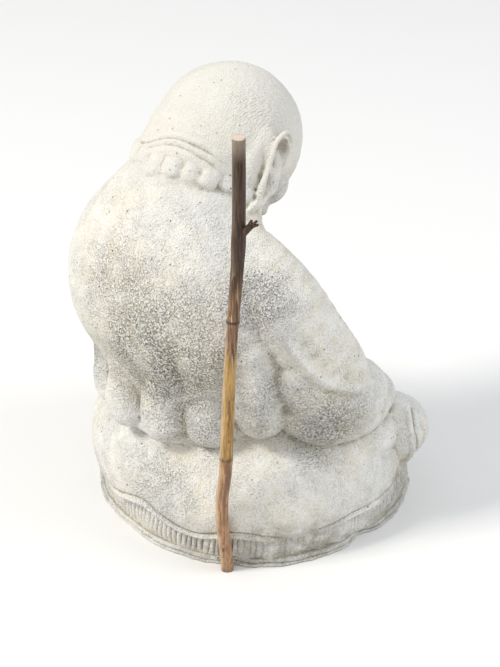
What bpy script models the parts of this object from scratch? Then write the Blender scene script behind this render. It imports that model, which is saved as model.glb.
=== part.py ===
"""Cast stone monk, seated and bowed on a mat and a slab, with a stick leaned on the back. Metres, +Z up, facing -Y."""

import math

import bmesh
import bpy
import numpy as np
from mathutils import Euler, Matrix, Vector, noise
from mathutils.bvhtree import BVHTree

# The figure, from the mat to the top of the bowed head
FIGURE_HEIGHT = 0.368
# The slab under everything, a rounded square
SLAB_THICKNESS = 0.007
SLAB_WIDTH = 0.272
SLAB_DEPTH = 0.269
# The mat between the slab and the robe
MAT_THICKNESS = 0.025
MAT_SETBACK = 0.003
# The necklace
BEAD_WIDTH = 0.016
BEAD_RELIEF = 0.0042
# The rolled hem of the robe
HEM_WIDTH = 0.005
HEM_RELIEF = 0.003
# The stick
STICK_LENGTH = 0.395
STICK_FOOT_DIAMETER = 0.0108
STICK_TOP_DIAMETER = 0.0104
STICK_GAP = 0.0003
STICK_BEARING = 132.0
KNOT_HEIGHT = 0.247
# The triangle budget of the stone
STONE_TRIANGLES = 8900

# The figure is told in 368ths of its height, with the mat's top at height 32
PART = FIGURE_HEIGHT / 368
SEAT = SLAB_THICKNESS + MAT_THICKNESS
GRAIN = 3.0 * PART

for old in list(bpy.data.objects):
    bpy.data.objects.remove(old, do_unlink=True)
model = bpy.data.collections.new("seated_monk")
bpy.context.scene.collection.children.link(model)


def material(name, colour, roughness):
    made = bpy.data.materials.new(name)
    made.use_nodes = True
    shader = made.node_tree.nodes["Principled BSDF"]
    shader.inputs["Base Color"].default_value = (*colour, 1)
    shader.inputs["Roughness"].default_value = roughness
    shader.inputs["Metallic"].default_value = 0.0
    return made


stone = material("stone", (0.66, 0.63, 0.56), 0.92)
bark = material("bark", (0.32, 0.2, 0.11), 0.8)


def smooth_line(points, per_span=8):
    """An even curve through rows of numbers."""
    p = np.array(points, float)
    p = np.vstack([2 * p[0] - p[1], p, 2 * p[-1] - p[-2]])
    out = []
    for i in range(1, len(p) - 2):
        a, b, c, d = p[i - 1 : i + 3]
        for t in np.arange(per_span) / per_span:
            bend = (2 * a - 5 * b + 4 * c - d) * t * t + (3 * b - 3 * c + d - a) * t**3
            out.append(0.5 * (2 * b + (c - a) * t + bend))
    out.append(p[-2])
    return np.array(out)


carrier = bpy.data.meshes.new("carrier")


def join(clay, piece):
    """Lays a finished piece into the clay."""
    piece.to_mesh(carrier)
    piece.free()
    clay.from_mesh(carrier)


def ball(clay, centre, radii, turn=(0, 0, 0), sides=28):
    frame = Euler([math.radians(a) for a in turn]).to_matrix().to_4x4()
    place = Matrix.Translation(Vector(centre)) @ frame @ Matrix.Diagonal((*radii, 1))
    piece = bmesh.new()
    bmesh.ops.create_uvsphere(piece, u_segments=sides, v_segments=sides // 2, radius=1, matrix=place)
    join(clay, piece)


def limb(clay, stations, step=0.3):
    """A round-ended sausage through (x, y, z, radius) stations."""
    last = None
    rows = smooth_line(stations, 10)
    for i, (x, y, z, radius) in enumerate(rows):
        here = Vector((x, y, z))
        if last is not None and i < len(rows) - 1 and (here - last).length < step * radius:
            continue
        ball(clay, here, (radius, radius, radius), sides=24)
        last = here


def stack(clay, rings, power=2.3, sides=72, levels=30):
    """A closed body drawn through oval rings (height, y centre, half width, depth to the back, depth to the front)."""
    rows = smooth_line(rings, 10)
    piece = bmesh.new()
    bmesh.ops.create_uvsphere(piece, u_segments=sides, v_segments=levels, radius=1)
    for v in piece.verts:
        share = math.acos(max(-1, min(1, -v.co.z))) / math.pi * levels
        pole = share < 0.001 or share > levels - 0.001
        height = rows[0, 0] + (rows[-1, 0] - rows[0, 0]) * min(1, max(0, (share - 1) / (levels - 2)))
        middle, half, rear, fore = (np.interp(height, rows[:, 0], rows[:, k]) for k in (1, 2, 3, 4))
        angle = math.atan2(v.co.y, v.co.x)
        c, s = math.cos(angle), math.sin(angle)
        out = 0 if pole else (abs(c) ** power + abs(s) ** power) ** (-1 / power)
        v.co = Vector((out * c * half, middle + out * s * (rear if s > 0 else fore), height))
    join(clay, piece)


def bump(angle, middle, spread):
    """A soft hump over bearings, in degrees."""
    away = (angle - middle + 180) % 360 - 180
    return math.exp(-((away / spread) ** 2))


# How the bowed head stands: its middle, and how far it tips forward
HEAD = Vector((0, 28, 339))
BOW = math.radians(26)


def on_head(x, y, z):
    return HEAD + Matrix.Rotation(BOW, 3, "X") @ Vector((x, y, z))


def lower_robe(clay):
    stack(clay, [(22, 2, 130, 131, 122), (32, 2, 136, 136, 125), (48, 3, 139, 138, 126), (66, 4, 137, 136, 120),
                 (83, 6, 130, 129, 108), (97, 9, 118, 118, 94), (109, 14, 103, 104, 80), (120, 20, 86, 88, 62),
                 (132, 26, 60, 60, 40)], power=2.15)
    for side in (-1, 1):
        # knees, and the shins that cross in front
        ball(clay, (side * 90, -77, 64), (37, 38, 32), (0, 0, side * 35))
        limb(clay, [(side * 88, -84, 56, 27), (side * 50, -98, 52, 25), (0, -102, 48, 23)])
        ball(clay, (side * 90, -28, 76), (38, 52, 28))
        # the toes under the hem
        ball(clay, (side * 34, -118, 46), (20, 13, 11), (0, 0, -side * 12))


def torso(clay):
    stack(clay, [(108, 44, 64, 64, 62), (120, 48, 74, 74, 72), (136, 52, 82, 80, 74), (165, 59, 97, 86, 72),
                 (200, 66, 107, 91, 66), (235, 70, 107, 88, 56), (262, 72, 96, 82, 48), (285, 73, 81, 74, 44),
                 (305, 74, 64, 60, 42), (322, 75, 48, 44, 38), (334, 75, 34, 28, 28)], power=2.3)
    # the scallops along the cape's lower edge: bearing, height of the tip, half width
    for bearing, tip, half in ((9, 113, 20), (34, 107, 21), (60, 108, 20), (85, 105, 20), (115, 105, 22), (143, 104, 23),
                               (171, 112, 20)):
        turn = math.radians(bearing)
        c, s = math.cos(turn), math.sin(turn)
        limb(clay, [(c * (98 - half), 51 + s * (99 - half), tip + half, half),
                    (c * (99 - half), 54 + s * (99 - half), tip + 42, half - 1),
                    (c * (99 - half), 59 + s * (94 - half), tip + 78, half - 3)])
    # the shoulder of cloth that fills in between and behind them
    limb(clay, [(math.cos(math.radians(a)) * 72, 51 + math.sin(math.radians(a)) * 72, 114, 12) for a in range(15, 171, 15)])


def arms(clay):
    for side in (-1, 1):
        limb(clay, [(side * 60, 72, 266, 34), (side * 75, 64, 252, 36), (side * 92, 50, 225, 38),
                    (side * 102, 33, 194, 37), (side * 106, 14, 166, 35), (side * 104, 5, 150, 33)])
        limb(clay, [(side * 100, 0, 132, 30), (side * 90, -40, 110, 25), (side * 66, -66, 98, 20)])
        # the sleeve's hanging cloth
        limb(clay, [(side * 94, 40, 142, 26), (side * 104, 14, 124, 29), (side * 105, -20, 117, 28),
                    (side * 97, -46, 114, 23)])
        limb(clay, [(side * 99, 44, 176, 32), (side * 107, 22, 148, 33), (side * 106, -10, 134, 33),
                    (side * 99, -34, 122, 26)])
        # the cloth stretched between back and sleeve
        limb(clay, [(side * 84, 82, 200, 29), (side * 88, 76, 168, 28), (side * 88, 66, 138, 24)])


def hands(clay):
    """The right hand lies in the left, palms up, thumb tips together."""
    for side, floor in ((1, 80), (-1, 89)):
        limb(clay, [(side * 64, -70, 94, 14), (side * 50, -82, floor + 4, 13), (side * 34, -88, floor, 12)])
        ball(clay, (side * 22, -88, floor), (21, 17, 8), (0, 0, side * 8))
        for k, reach in enumerate((16, 22, 24, 20)):
            y = -100 + 8.4 * k
            limb(clay, [(side * 12, y, floor + 1, 4.9), (-side * 4, y - 0.5, floor + 2.5, 4.8),
                        (-side * reach, y + 0.5, floor + 1, 4.1)])
        limb(clay, [(side * 30, -99, floor + 4, 6), (side * 18, -106, 99, 5.4), (side * 3.5, -107, 105, 4.6)])


def head(clay):
    ball(clay, HEAD, (59, 62, 61), sides=40)
    limb(clay, [(0, 74, 304, 48), (0, 64, 322, 49), (0, 48, 334, 53)])
    ball(clay, on_head(0, -16, -26), (44, 38, 44))
    ball(clay, on_head(0, -34, -54), (20, 19, 18))
    limb(clay, [(*on_head(0, -55, 8), 6), (*on_head(0, -61, -8), 7), (*on_head(0, -65, -20), 9)])
    for side in (-1, 1):
        ball(clay, on_head(side * 24, -36, -24), (19, 17, 20))
        ball(clay, on_head(side * 9, -58, -21), (6, 7, 5))
        limb(clay, [(*on_head(side * 8, -55, 10), 6), (*on_head(side * 24, -51, 13), 6), (*on_head(side * 40, -38, 8), 5)])
        ball(clay, on_head(side * 21, -47, -2), (12, 8, 8))
    ball(clay, on_head(0, -52, -37), (14, 7, 4))
    ball(clay, on_head(0, -50, -44), (11, 7, 5))


def ears(clay):
    """A long-lobed ear: a rolled rim round an oval hollow, whose back runs smoothly into the skull."""
    for side in (-1, 1):
        ball(clay, on_head(side * 56, 2, -6), (7, 12, 29))
        back = ((51, 13, 15, 8), (50, 16, 3, 10), (49, 17, -10, 11), (49, 15, -24, 10), (50, 9, -38, 7))
        rim = ((60, -10, 0, 3), (60, -10, 12, 3), (61, -5, 20, 3.2), (63, 3, 22, 3.4), (64.5, 9, 16, 3.4),
               (65, 10.5, 6, 3.4), (64.5, 9, -6, 3.4), (63.5, 8, -18, 3.6), (62, 6, -30, 4), (59.5, 1, -38, 4),
               (58, -5, -30, 3.4), (58.5, -6, -16, 3))
        for line in (back, rim):
            limb(clay, [(*on_head(side * x, y, z), r) for x, y, z, r in line], step=0.5)


def plinth(clay):
    """The mat and the slab, each a rounded square drawn out upwards, the slab in two uneven layers with a flaw."""
    layers = ((-0.006, SLAB_THICKNESS * 0.45, 0, 1.2, 7), (SLAB_THICKNESS * 0.45, SLAB_THICKNESS, 0.0012, 1.5, 11),
              (SLAB_THICKNESS * 0.8, SEAT + 0.01, MAT_SETBACK, 0.4, 5))
    for low, high, inset, uneven, waves in layers:
        piece = bmesh.new()
        bmesh.ops.create_cone(piece, cap_ends=True, segments=120, radius1=1, radius2=1, depth=high - low)
        for v in piece.verts:
            angle = math.atan2(v.co.y, v.co.x)
            c, s = math.cos(angle), math.sin(angle)
            out = (abs(c) ** 2.2 + abs(s) ** 2.2) ** (-1 / 2.2)
            wave = (math.sin(waves * angle) + math.sin((2 * waves + 3) * angle + 1)) * uneven / 2000
            if waves > 5:
                wave -= 0.006 * bump(math.degrees(angle), 184, 6)
            wave -= 0.0035 * bump(math.degrees(angle), STICK_BEARING, 6)
            v.co.x = out * c * (SLAB_WIDTH / 2 - inset) + c * wave
            v.co.y = out * s * (SLAB_DEPTH / 2 - inset) + s * wave
            v.co.z += (low + high) / 2
        join(clay, piece)


def to_object(clay, name, modifiers):
    """The clay as one skinned body."""
    mesh = bpy.data.meshes.new(name)
    clay.to_mesh(mesh)
    clay.free()
    made = bpy.data.objects.new(name, mesh)
    model.objects.link(made)
    for kind, values in modifiers:
        modifier = made.modifiers.new(kind.lower(), kind)
        for key, value in values.items():
            setattr(modifier, key, value)
    graph = bpy.context.evaluated_depsgraph_get()
    done = bpy.data.meshes.new_from_object(made.evaluated_get(graph))
    made.modifiers.clear()
    made.data = done
    done.name = name
    return made


def surface(mesh):
    return BVHTree.FromPolygons([v.co for v in mesh.vertices], [tuple(p.vertices) for p in mesh.polygons])


def real(point):
    """A point of the figure, from parts to metres above the ground."""
    return Vector((point[0] * PART, point[1] * PART, SEAT + (point[2] - 32) * PART))


def stroke(mesh, points, width, height, fade=0.2):
    """Raises a soft ridge along the surface, or cuts a groove where height is below nought."""
    tree = surface(mesh)
    line = np.array([tree.find_nearest(real(p))[0] for p in smooth_line(points, 6)])
    count = len(mesh.vertices)
    co, no = np.zeros(count * 3), np.zeros(count * 3)
    mesh.vertices.foreach_get("co", co)
    mesh.vertices.foreach_get("normal", no)
    co, no = co.reshape(-1, 3), no.reshape(-1, 3)
    near = np.where(((co > line.min(0) - 3 * width) & (co < line.max(0) + 3 * width)).all(1))[0]
    best, along = np.full(len(near), 1e9), np.zeros(len(near))
    for i in range(len(line) - 1):
        leg = line[i + 1] - line[i]
        t = np.clip(((co[near] - line[i]) @ leg) / max(leg @ leg, 1e-12), 0, 1)
        away = np.linalg.norm(co[near] - line[i] - t[:, None] * leg, axis=1)
        closer = away < best
        best[closer], along[closer] = away[closer], (i + t[closer]) / (len(line) - 1)
    ease = np.clip(np.minimum(along, 1 - along) / max(fade, 0.001), 0, 1)
    push = height * np.exp(-1.6 * (best / width) ** 2) * ease * ease * (3 - 2 * ease)
    co[near] += no[near] * push[:, None]
    mesh.vertices.foreach_set("co", co.ravel())
    mesh.update()


def necklace_line():
    """The necklace's run from the nape round to the chest, on the figure's left; the right mirrors it."""
    return [(0, 115, 345), (24, 109, 344), (43, 94, 338), (53, 72, 327), (53, 50, 307), (45, 28, 282),
            (33, 8, 256), (18, -4, 234), (0, -8, 226)]


def hem_height(bearing):
    """The hem dips and lifts as the robe lies on the mat."""
    rise = 26 + 14 * bump(bearing, 97, 11) - 5 * bump(bearing, 119, 9) + 6 * bump(bearing, 136, 10)
    rise += 4 * bump(bearing, 30, 15) - 3 * bump(bearing, 0, 12) + 3 * bump(bearing, 230, 14) + 2 * bump(bearing, 186, 8)
    rise -= 11 * bump(bearing, 157, 11) + 12 * bump(bearing, 66, 11)
    return rise + 1.8 * noise.noise(Vector((bearing / 8, 3, 0)))


figure = bmesh.new()
lower_robe(figure)
for vert in figure.verts:
    # below its hem the robe draws in behind the mat
    if vert.co.z < hem_height(math.degrees(math.atan2(vert.co.y, vert.co.x)) % 360) - 3:
        vert.co.x *= 0.925
        vert.co.y *= 0.925
torso(figure)
arms(figure)
hands(figure)
head(figure)
ears(figure)
for vert in figure.verts:
    vert.co = real(vert.co)
plinth(figure)

# The first skin tells where the beads lie
first = to_object(figure.copy(), "first_skin", (("REMESH", {"mode": "VOXEL", "voxel_size": 2 * GRAIN}),))
skin = surface(first.data)
bpy.data.objects.remove(first, do_unlink=True)

half = np.array([skin.find_nearest(real(p))[0] for p in smooth_line(necklace_line(), 12)])
string = np.vstack([half[::-1] * (-1, 1, 1), half[1:]])
lengths = np.concatenate([[0], np.cumsum(np.linalg.norm(np.diff(string, axis=0), axis=1))])
beads = round(lengths[-1] / BEAD_WIDTH)
for k in range(beads):
    at = (k + 0.5) * lengths[-1] / beads
    spot, ahead, behind = (Vector([np.interp(at + d, lengths, string[:, i]) for i in range(3)]) for d in (0, 0.003, -0.003))
    spot, normal = skin.find_nearest(spot)[:2]
    along = (ahead - behind).normalized()
    across = normal.cross(along).normalized()
    frame = Matrix((along, across, normal)).transposed().to_4x4()
    wear, drop = noise.noise(Vector((k * 3.7, 0.3, 0.8))), noise.noise(Vector((k * 2.9, 7.3, 0.8)))
    spot += across * drop * 0.003
    size = Matrix.Diagonal((BEAD_WIDTH * (0.43 + 0.12 * wear), BEAD_WIDTH * (0.44 + 0.16 * drop),
                            BEAD_RELIEF * (0.9 + 0.7 * wear) + 0.002, 1))
    bead = bmesh.new()
    bmesh.ops.create_uvsphere(bead, u_segments=12, v_segments=8, radius=1)
    for v in bead.verts:
        n = (abs(v.co.x) ** 3 + abs(v.co.y) ** 3 + abs(v.co.z) ** 3) ** (1 / 3)
        v.co = Matrix.Translation(spot - normal * 0.002) @ frame @ size @ (v.co / n)
    join(figure, bead)

monk = to_object(figure, "cast_monk", (("REMESH", {"mode": "VOXEL", "voxel_size": GRAIN}),
                                       ("SMOOTH", {"factor": 0.5, "iterations": 3})))
shape = monk.data

# The rolled hem right round, with the groove above it
for lift, width, height in ((0, HEM_WIDTH, HEM_RELIEF), (7, 0.7 * HEM_WIDTH, -0.5 * HEM_RELIEF)):
    ring = []
    for k in range(-2, 75):
        turn = math.radians(5 * k)
        ring.append((140 * math.cos(turn), 4 + 138 * math.sin(turn), hem_height(5 * k % 360) + lift))
    stroke(shape, ring, width, height, fade=0.01)

# A roll of skin across the nape
nape = [(-50, 61, 329), (-46, 71, 342), (-40, 77, 350), (-26, 88, 358), (-13, 93, 359), (0, 99, 355), (10, 101, 350),
        (26, 94, 341), (40, 82, 334)]
for lift, width, height in ((0, 3, -1.5), (-5, 3, 1.4), (-9, 3, -1.3)):
    stroke(shape, [(x, y, z + lift) for x, y, z in nape], width * PART, height * PART, 0.3)

# Folds that both sides share: cape, sleeves, lap and the robe's edge beside the knee
for side in (-1, 1):
    for points, width, height in (
        ([(side * 102, 56, 128), (side * 104, 68, 152), (side * 106, 78, 180), (side * 106, 90, 215)], 14, -2.5),
        ([(side * 126, 64, 230), (side * 131, 54, 212), (side * 138, 42, 194), (side * 142, 26, 180), (side * 140, 4, 170)], 10, -2),
        ([(side * 119, 76, 234), (side * 128, 65, 208), (side * 135, 52, 186), (side * 140, 36, 172), (side * 142, 16, 163),
              (side * 136, -14, 152)], 6.5, 4),
        ([(side * 30, -18, 190), (side * 60, -16, 160), (side * 92, -14, 140)], 9, 3),
        ([(side * 20, -28, 150), (side * 50, -30, 128), (side * 80, -34, 118)], 9, 3),
        ([(side * 131, -28, 16), (side * 124, -60, 20), (side * 126, -73, 49), (side * 124, -72, 78),
          (side * 106, -84, 94)], 3.5, 3),
        ([(side * 126, -72, 22), (side * 121, -90, 49), (side * 115, -92, 80)], 8, -4.5),
        ([(side * 60, -130, 34), (side * 62, -122, 60), (side * 66, -100, 88)], 8, 2.5),
    ):
        stroke(shape, points, width * PART, height * PART)
stroke(shape, [(-44, 22, 286), (-26, -4, 250), (6, -14, 205), (34, -14, 170), (62, -10, 140)], 7 * PART, 4.5 * PART)
stroke(shape, [(44, 22, 286), (26, -4, 250), (4, -14, 212)], 7 * PART, 4 * PART)
# Flutes that run up the cape from between the scallops
for bearing, low, high, deep in ((74, 135, 190, 2.5), (101, 138, 205, 2.5), (129, 124, 230, 5), (157, 122, 215, 4)):
    turn = math.radians(bearing)
    c, s = math.cos(turn), math.sin(turn)
    groove = [(c * 112, 52 + s * 110, low), (c * 112, 56 + s * 110, (low + high) / 2), (c * 108, 60 + s * 106, high)]
    stroke(shape, groove, 9 * PART, -deep * PART, 0.4)

# Fewer facets, then a flat underside
fine = bmesh.new()
fine.from_mesh(shape)
share = STONE_TRIANGLES / (2 * len(fine.faces))
bpy.data.objects.remove(monk, do_unlink=True)
monk = to_object(fine, "cast_monk", (("DECIMATE", {"ratio": share, "use_collapse_triangulate": True}),))
body = bmesh.new()
body.from_mesh(monk.data)
everything = body.verts[:] + body.edges[:] + body.faces[:]
bmesh.ops.bisect_plane(body, geom=everything, dist=1e-6, plane_co=(0, 0, 0), plane_no=(0, 0, -1), clear_outer=True)
bmesh.ops.triangle_fill(body, edges=[e for e in body.edges if e.is_boundary], use_beauty=True)
bmesh.ops.triangulate(body, faces=body.faces[:])
bmesh.ops.recalc_face_normals(body, faces=body.faces[:])
body.to_mesh(monk.data)
stone_skin = BVHTree.FromBMesh(body)
body.free()
monk.data.materials.clear()
monk.data.materials.append(stone)


def stick_line(foot, lean):
    """The stick's middle from its foot upwards: a crooked branch that bends outwards, then in along the back."""
    bearing = math.radians(STICK_BEARING)
    outward = Vector((math.cos(bearing), math.sin(bearing), 0))
    sideways = Vector((-outward.y, outward.x, 0))
    up = Vector((0, 0, 1)) * math.cos(lean) - outward * math.sin(lean)
    rows = []
    for share, wander, bow in ((0.012, -0.007, 0), (0.065, -0.009, 0.011), (0.13, -0.012, 0.021), (0.2, -0.012, 0.027),
                               (0.27, -0.004, 0.031), (0.38, 0.002, 0.034), (0.57, 0.011, 0.034), (0.78, 0.025, 0.024),
                               (1, 0.025, 0.008)):
        rows.append(outward * foot + (up * share + sideways * wander + outward * bow) * STICK_LENGTH)
    # the sawn foot stands level on the ground
    level = Vector((rows[0].x, rows[0].y, 0))
    return [level] + [Vector(row) for row in smooth_line([tuple(r) for r in rows], 4)]


def stick_radius(height):
    """Half the stick's thickness: a slight taper, thinner below the knot and thicker at it."""
    taper = (STICK_TOP_DIAMETER - STICK_FOOT_DIAMETER) * height / STICK_LENGTH
    knot = 0.12 * math.exp(-(((height - KNOT_HEIGHT) / 0.006) ** 2))
    waist = 0.10 * math.exp(-(((height - KNOT_HEIGHT + 0.017) / 0.05) ** 2))
    return (STICK_FOOT_DIAMETER + taper) / 2 * (1 + knot - waist)


def room(line):
    """The least room between the stick's skin and the stone."""
    return min(stone_skin.find_nearest(spot)[3] - stick_radius(spot.z) for spot in line)


# The foot is set down clear of the slab, then the stick is tipped until it meets the back
foot = SLAB_WIDTH / 2
while room(stick_line(foot, 0)[:5]) < STICK_GAP:
    foot += 0.0004
low, high = math.radians(-25), math.radians(25)
for _ in range(40):
    middle = (low + high) / 2
    if room(stick_line(foot, middle)) > STICK_GAP:
        low = middle
    else:
        high = middle
path = stick_line(foot, low)
branch = bpy.data.curves.new("leaning_stick", "CURVE")
branch.dimensions = "3D"
branch.bevel_depth = STICK_FOOT_DIAMETER / 2
branch.bevel_resolution = 3
branch.use_fill_caps = True
spline = branch.splines.new("POLY")
spline.points.add(len(path) - 1)
for point, spot in zip(spline.points, path):
    point.co = (*spot, 1)
    point.radius = stick_radius(spot.z) / branch.bevel_depth
branch.materials.append(bark)
stick = bpy.data.objects.new("leaning_stick", branch)
model.objects.link(stick)
bpy.data.meshes.remove(carrier)
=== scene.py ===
"""A bowed monk in weathered cast stone, with a branch leaned on its back. Metres, +Z up, facing -Y."""

import math

import bmesh
import bpy
import numpy as np
from mathutils import Euler, Matrix, Vector, noise
from mathutils.bvhtree import BVHTree


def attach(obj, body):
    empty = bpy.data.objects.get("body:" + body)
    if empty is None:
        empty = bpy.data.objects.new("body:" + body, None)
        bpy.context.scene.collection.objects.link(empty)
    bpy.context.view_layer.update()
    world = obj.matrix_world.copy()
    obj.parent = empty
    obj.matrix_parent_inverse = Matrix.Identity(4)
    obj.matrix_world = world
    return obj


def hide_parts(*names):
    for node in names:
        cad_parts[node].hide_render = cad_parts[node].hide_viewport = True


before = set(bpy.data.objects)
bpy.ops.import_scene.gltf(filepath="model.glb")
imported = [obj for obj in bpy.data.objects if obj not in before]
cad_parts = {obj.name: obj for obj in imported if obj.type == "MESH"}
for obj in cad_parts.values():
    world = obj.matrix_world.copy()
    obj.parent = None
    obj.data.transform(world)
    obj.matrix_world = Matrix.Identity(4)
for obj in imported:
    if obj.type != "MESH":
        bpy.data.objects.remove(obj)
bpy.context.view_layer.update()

# The figure
# One casting shows a seated monk, head bowed on the chest, hands laid in the lap under a loose robe and cape.
# The cape ends in rounded scallops over the lower robe, whose rolled hem lies in waves on the mat.

FIGURE_HEIGHT = 0.368
SLAB_THICKNESS = 0.007
MAT_THICKNESS = 0.025
BEAD_WIDTH = 0.0160
BEAD_RELIEF = 0.0042
HEM_WIDTH = 0.0032
HEM_RELIEF = 0.0026
STONE_TRIANGLES = 196000

# The figure is told in 368ths of its height, with the mat's top at height 32
PART = FIGURE_HEIGHT / 368
MAT_TOP = 32
SEAT = SLAB_THICKNESS + MAT_THICKNESS
GRAIN = 1.5 * PART
HEAD = Vector((0, 28, 339))
BOW = math.radians(26)
# each scallop of the cape: bearing in degrees, height of its tip, half its width
SCALLOPS = ((9, 113, 20), (34, 107, 21), (60, 108, 20), (85, 105, 20), (115, 105, 22), (143, 104, 23),
            (171, 112, 20))
# the line of the beads on one side, from the nape to the chest
NECKLACE = ((0, 115, 345), (24, 109, 344), (43, 94, 338), (53, 72, 327), (53, 50, 307), (45, 28, 282),
            (33, 8, 256), (18, -4, 234), (0, -8, 226))
BEAD_SQUARENESS = 3.6
carrier = bpy.data.meshes.new("carrier")


def smooth_line(points, per_span):
    """An even curve through rows of numbers."""
    p = np.array(points, float)
    p = np.vstack([2 * p[0] - p[1], p, 2 * p[-1] - p[-2]])
    out = []
    for i in range(1, len(p) - 2):
        a, b, c, d = p[i - 1 : i + 3]
        for t in np.arange(per_span) / per_span:
            bend = (2 * a - 5 * b + 4 * c - d) * t * t + (3 * b - 3 * c + d - a) * t**3
            out.append(0.5 * (2 * b + (c - a) * t + bend))
    out.append(p[-2])
    return np.array(out)


def join(clay, piece):
    """Lays a finished piece into the clay."""
    piece.to_mesh(carrier)
    piece.free()
    clay.from_mesh(carrier)


def ball(clay, centre, radii, turn=(0, 0, 0), sides=32):
    frame_of = Euler([math.radians(a) for a in turn]).to_matrix().to_4x4()
    place = Matrix.Translation(Vector(centre)) @ frame_of @ Matrix.Diagonal((*radii, 1))
    piece = bmesh.new()
    bmesh.ops.create_uvsphere(piece, u_segments=sides, v_segments=sides // 2, radius=1, matrix=place)
    join(clay, piece)


def limb(clay, stations, step=0.25):
    """A round-ended sausage through (x, y, z, radius) stations."""
    last = None
    rows = smooth_line(stations, 12)
    for i, (x, y, z, radius) in enumerate(rows):
        here = Vector((x, y, z))
        if last is not None and i < len(rows) - 1 and (here - last).length < step * radius:
            continue
        ball(clay, here, (radius, radius, radius), sides=24)
        last = here


def stack(clay, rings, power=2.3):
    """A closed body drawn through oval rings.

    A ring is its height, its centre's y, half its width, its depth to the back and its depth to the front.
    """
    sides, levels = 96, 40
    rows = smooth_line(rings, 10)
    piece = bmesh.new()
    bmesh.ops.create_uvsphere(piece, u_segments=sides, v_segments=levels, radius=1)
    for v in piece.verts:
        share = math.acos(max(-1, min(1, -v.co.z))) / math.pi * levels
        pole = share < 0.001 or share > levels - 0.001
        height = rows[0, 0] + (rows[-1, 0] - rows[0, 0]) * min(1, max(0, (share - 1) / (levels - 2)))
        middle, half, rear, fore = (np.interp(height, rows[:, 0], rows[:, k]) for k in (1, 2, 3, 4))
        angle = math.atan2(v.co.y, v.co.x)
        c, s = math.cos(angle), math.sin(angle)
        out = 0 if pole else (abs(c) ** power + abs(s) ** power) ** (-1 / power)
        v.co = Vector((out * c * half, middle + out * s * (rear if s > 0 else fore), height))
    join(clay, piece)


def bump(angle, middle, spread):
    """A soft hump over bearings, in degrees."""
    away = (angle - middle + 180) % 360 - 180
    return math.exp(-((away / spread) ** 2))


def on_head(x, y, z):
    """A point of the upright head, tipped forward with it."""
    return HEAD + Matrix.Rotation(BOW, 3, "X") @ Vector((x, y, z))


def real(point):
    """A point of the figure, from parts to metres above the ground."""
    return Vector((point[0] * PART, point[1] * PART, SEAT + (point[2] - MAT_TOP) * PART))


def lower_robe(clay):
    rings = [(22, 2, 130, 131, 122), (32, 2, 136, 136, 125), (48, 3, 139, 138, 126), (66, 4, 137, 136, 120),
             (83, 6, 130, 129, 108), (97, 9, 118, 118, 94), (109, 14, 103, 104, 80), (120, 20, 86, 88, 62),
             (132, 26, 60, 60, 40)]
    stack(clay, rings, power=2.15)
    for side in (-1, 1):
        ball(clay, (side * 90, -77, 64), (37, 38, 32), (0, 0, side * 35))
        limb(clay, [(side * 88, -84, 56, 27), (side * 50, -98, 52, 25), (0, -102, 48, 23)])
        ball(clay, (side * 90, -28, 76), (38, 52, 28))
        # the toes under the hem
        ball(clay, (side * 34, -118, 46), (20, 13, 11), (0, 0, -side * 12))


def torso(clay):
    stack(clay, [(108, 44, 64, 64, 62), (120, 48, 74, 74, 72), (136, 52, 82, 80, 74), (165, 59, 97, 86, 72),
                 (200, 66, 107, 91, 66), (235, 70, 107, 88, 56), (262, 72, 96, 82, 48), (285, 73, 81, 74, 44),
                 (305, 74, 64, 60, 42), (322, 75, 48, 44, 38), (334, 75, 34, 28, 28)])
    # the scallops along the cape's lower edge
    for bearing, tip, half in SCALLOPS:
        turn = math.radians(bearing)
        c, s = math.cos(turn), math.sin(turn)
        limb(clay, [(c * (98 - half), 51 + s * (99 - half), tip + half, half),
                    (c * (99 - half), 54 + s * (99 - half), tip + 42, half - 1),
                    (c * (99 - half), 59 + s * (94 - half), tip + 78, half - 3)])
    # the cloth that fills in between and behind them
    turns = [math.radians(bearing) for bearing in range(15, 171, 15)]
    limb(clay, [(math.cos(turn) * 72, 51 + math.sin(turn) * 72, 114, 12) for turn in turns])


def arms(clay):
    for side in (-1, 1):
        limb(clay, [(side * 60, 72, 266, 34), (side * 75, 64, 252, 36), (side * 92, 50, 225, 38),
                    (side * 102, 33, 194, 37), (side * 106, 14, 166, 35), (side * 104, 5, 150, 33)])
        limb(clay, [(side * 100, 0, 132, 30), (side * 90, -40, 110, 25), (side * 66, -66, 98, 20)])
        # the sleeve's hanging cloth
        limb(clay, [(side * 94, 40, 142, 26), (side * 104, 14, 124, 29), (side * 105, -20, 117, 28),
                    (side * 97, -46, 114, 23)])
        limb(clay, [(side * 99, 44, 176, 32), (side * 107, 22, 148, 33), (side * 106, -10, 134, 33),
                    (side * 99, -34, 122, 26)])
        # the cloth stretched between back and sleeve
        limb(clay, [(side * 84, 82, 200, 29), (side * 88, 76, 168, 28), (side * 88, 66, 138, 24)])


def hands(clay):
    """The right hand lies in the left, palms up, thumb tips together."""
    for side, floor in ((1, 80), (-1, 89)):
        limb(clay, [(side * 64, -70, 94, 14), (side * 50, -82, floor + 4, 13), (side * 34, -88, floor, 12)])
        ball(clay, (side * 22, -88, floor), (21, 17, 8), (0, 0, side * 8))
        for k in range(4):
            y = -100 + 8.4 * k
            reach = (16, 22, 24, 20)[k]
            limb(clay, [(side * 12, y, floor + 1, 4.9), (-side * 4, y - 0.5, floor + 2.5, 4.8),
                        (-side * reach, y + 0.5, floor + 1, 4.1)])
        limb(clay, [(side * 30, -99, floor + 4, 6), (side * 18, -106, 99, 5.4), (side * 3.5, -107, 105, 4.6)])


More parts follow.
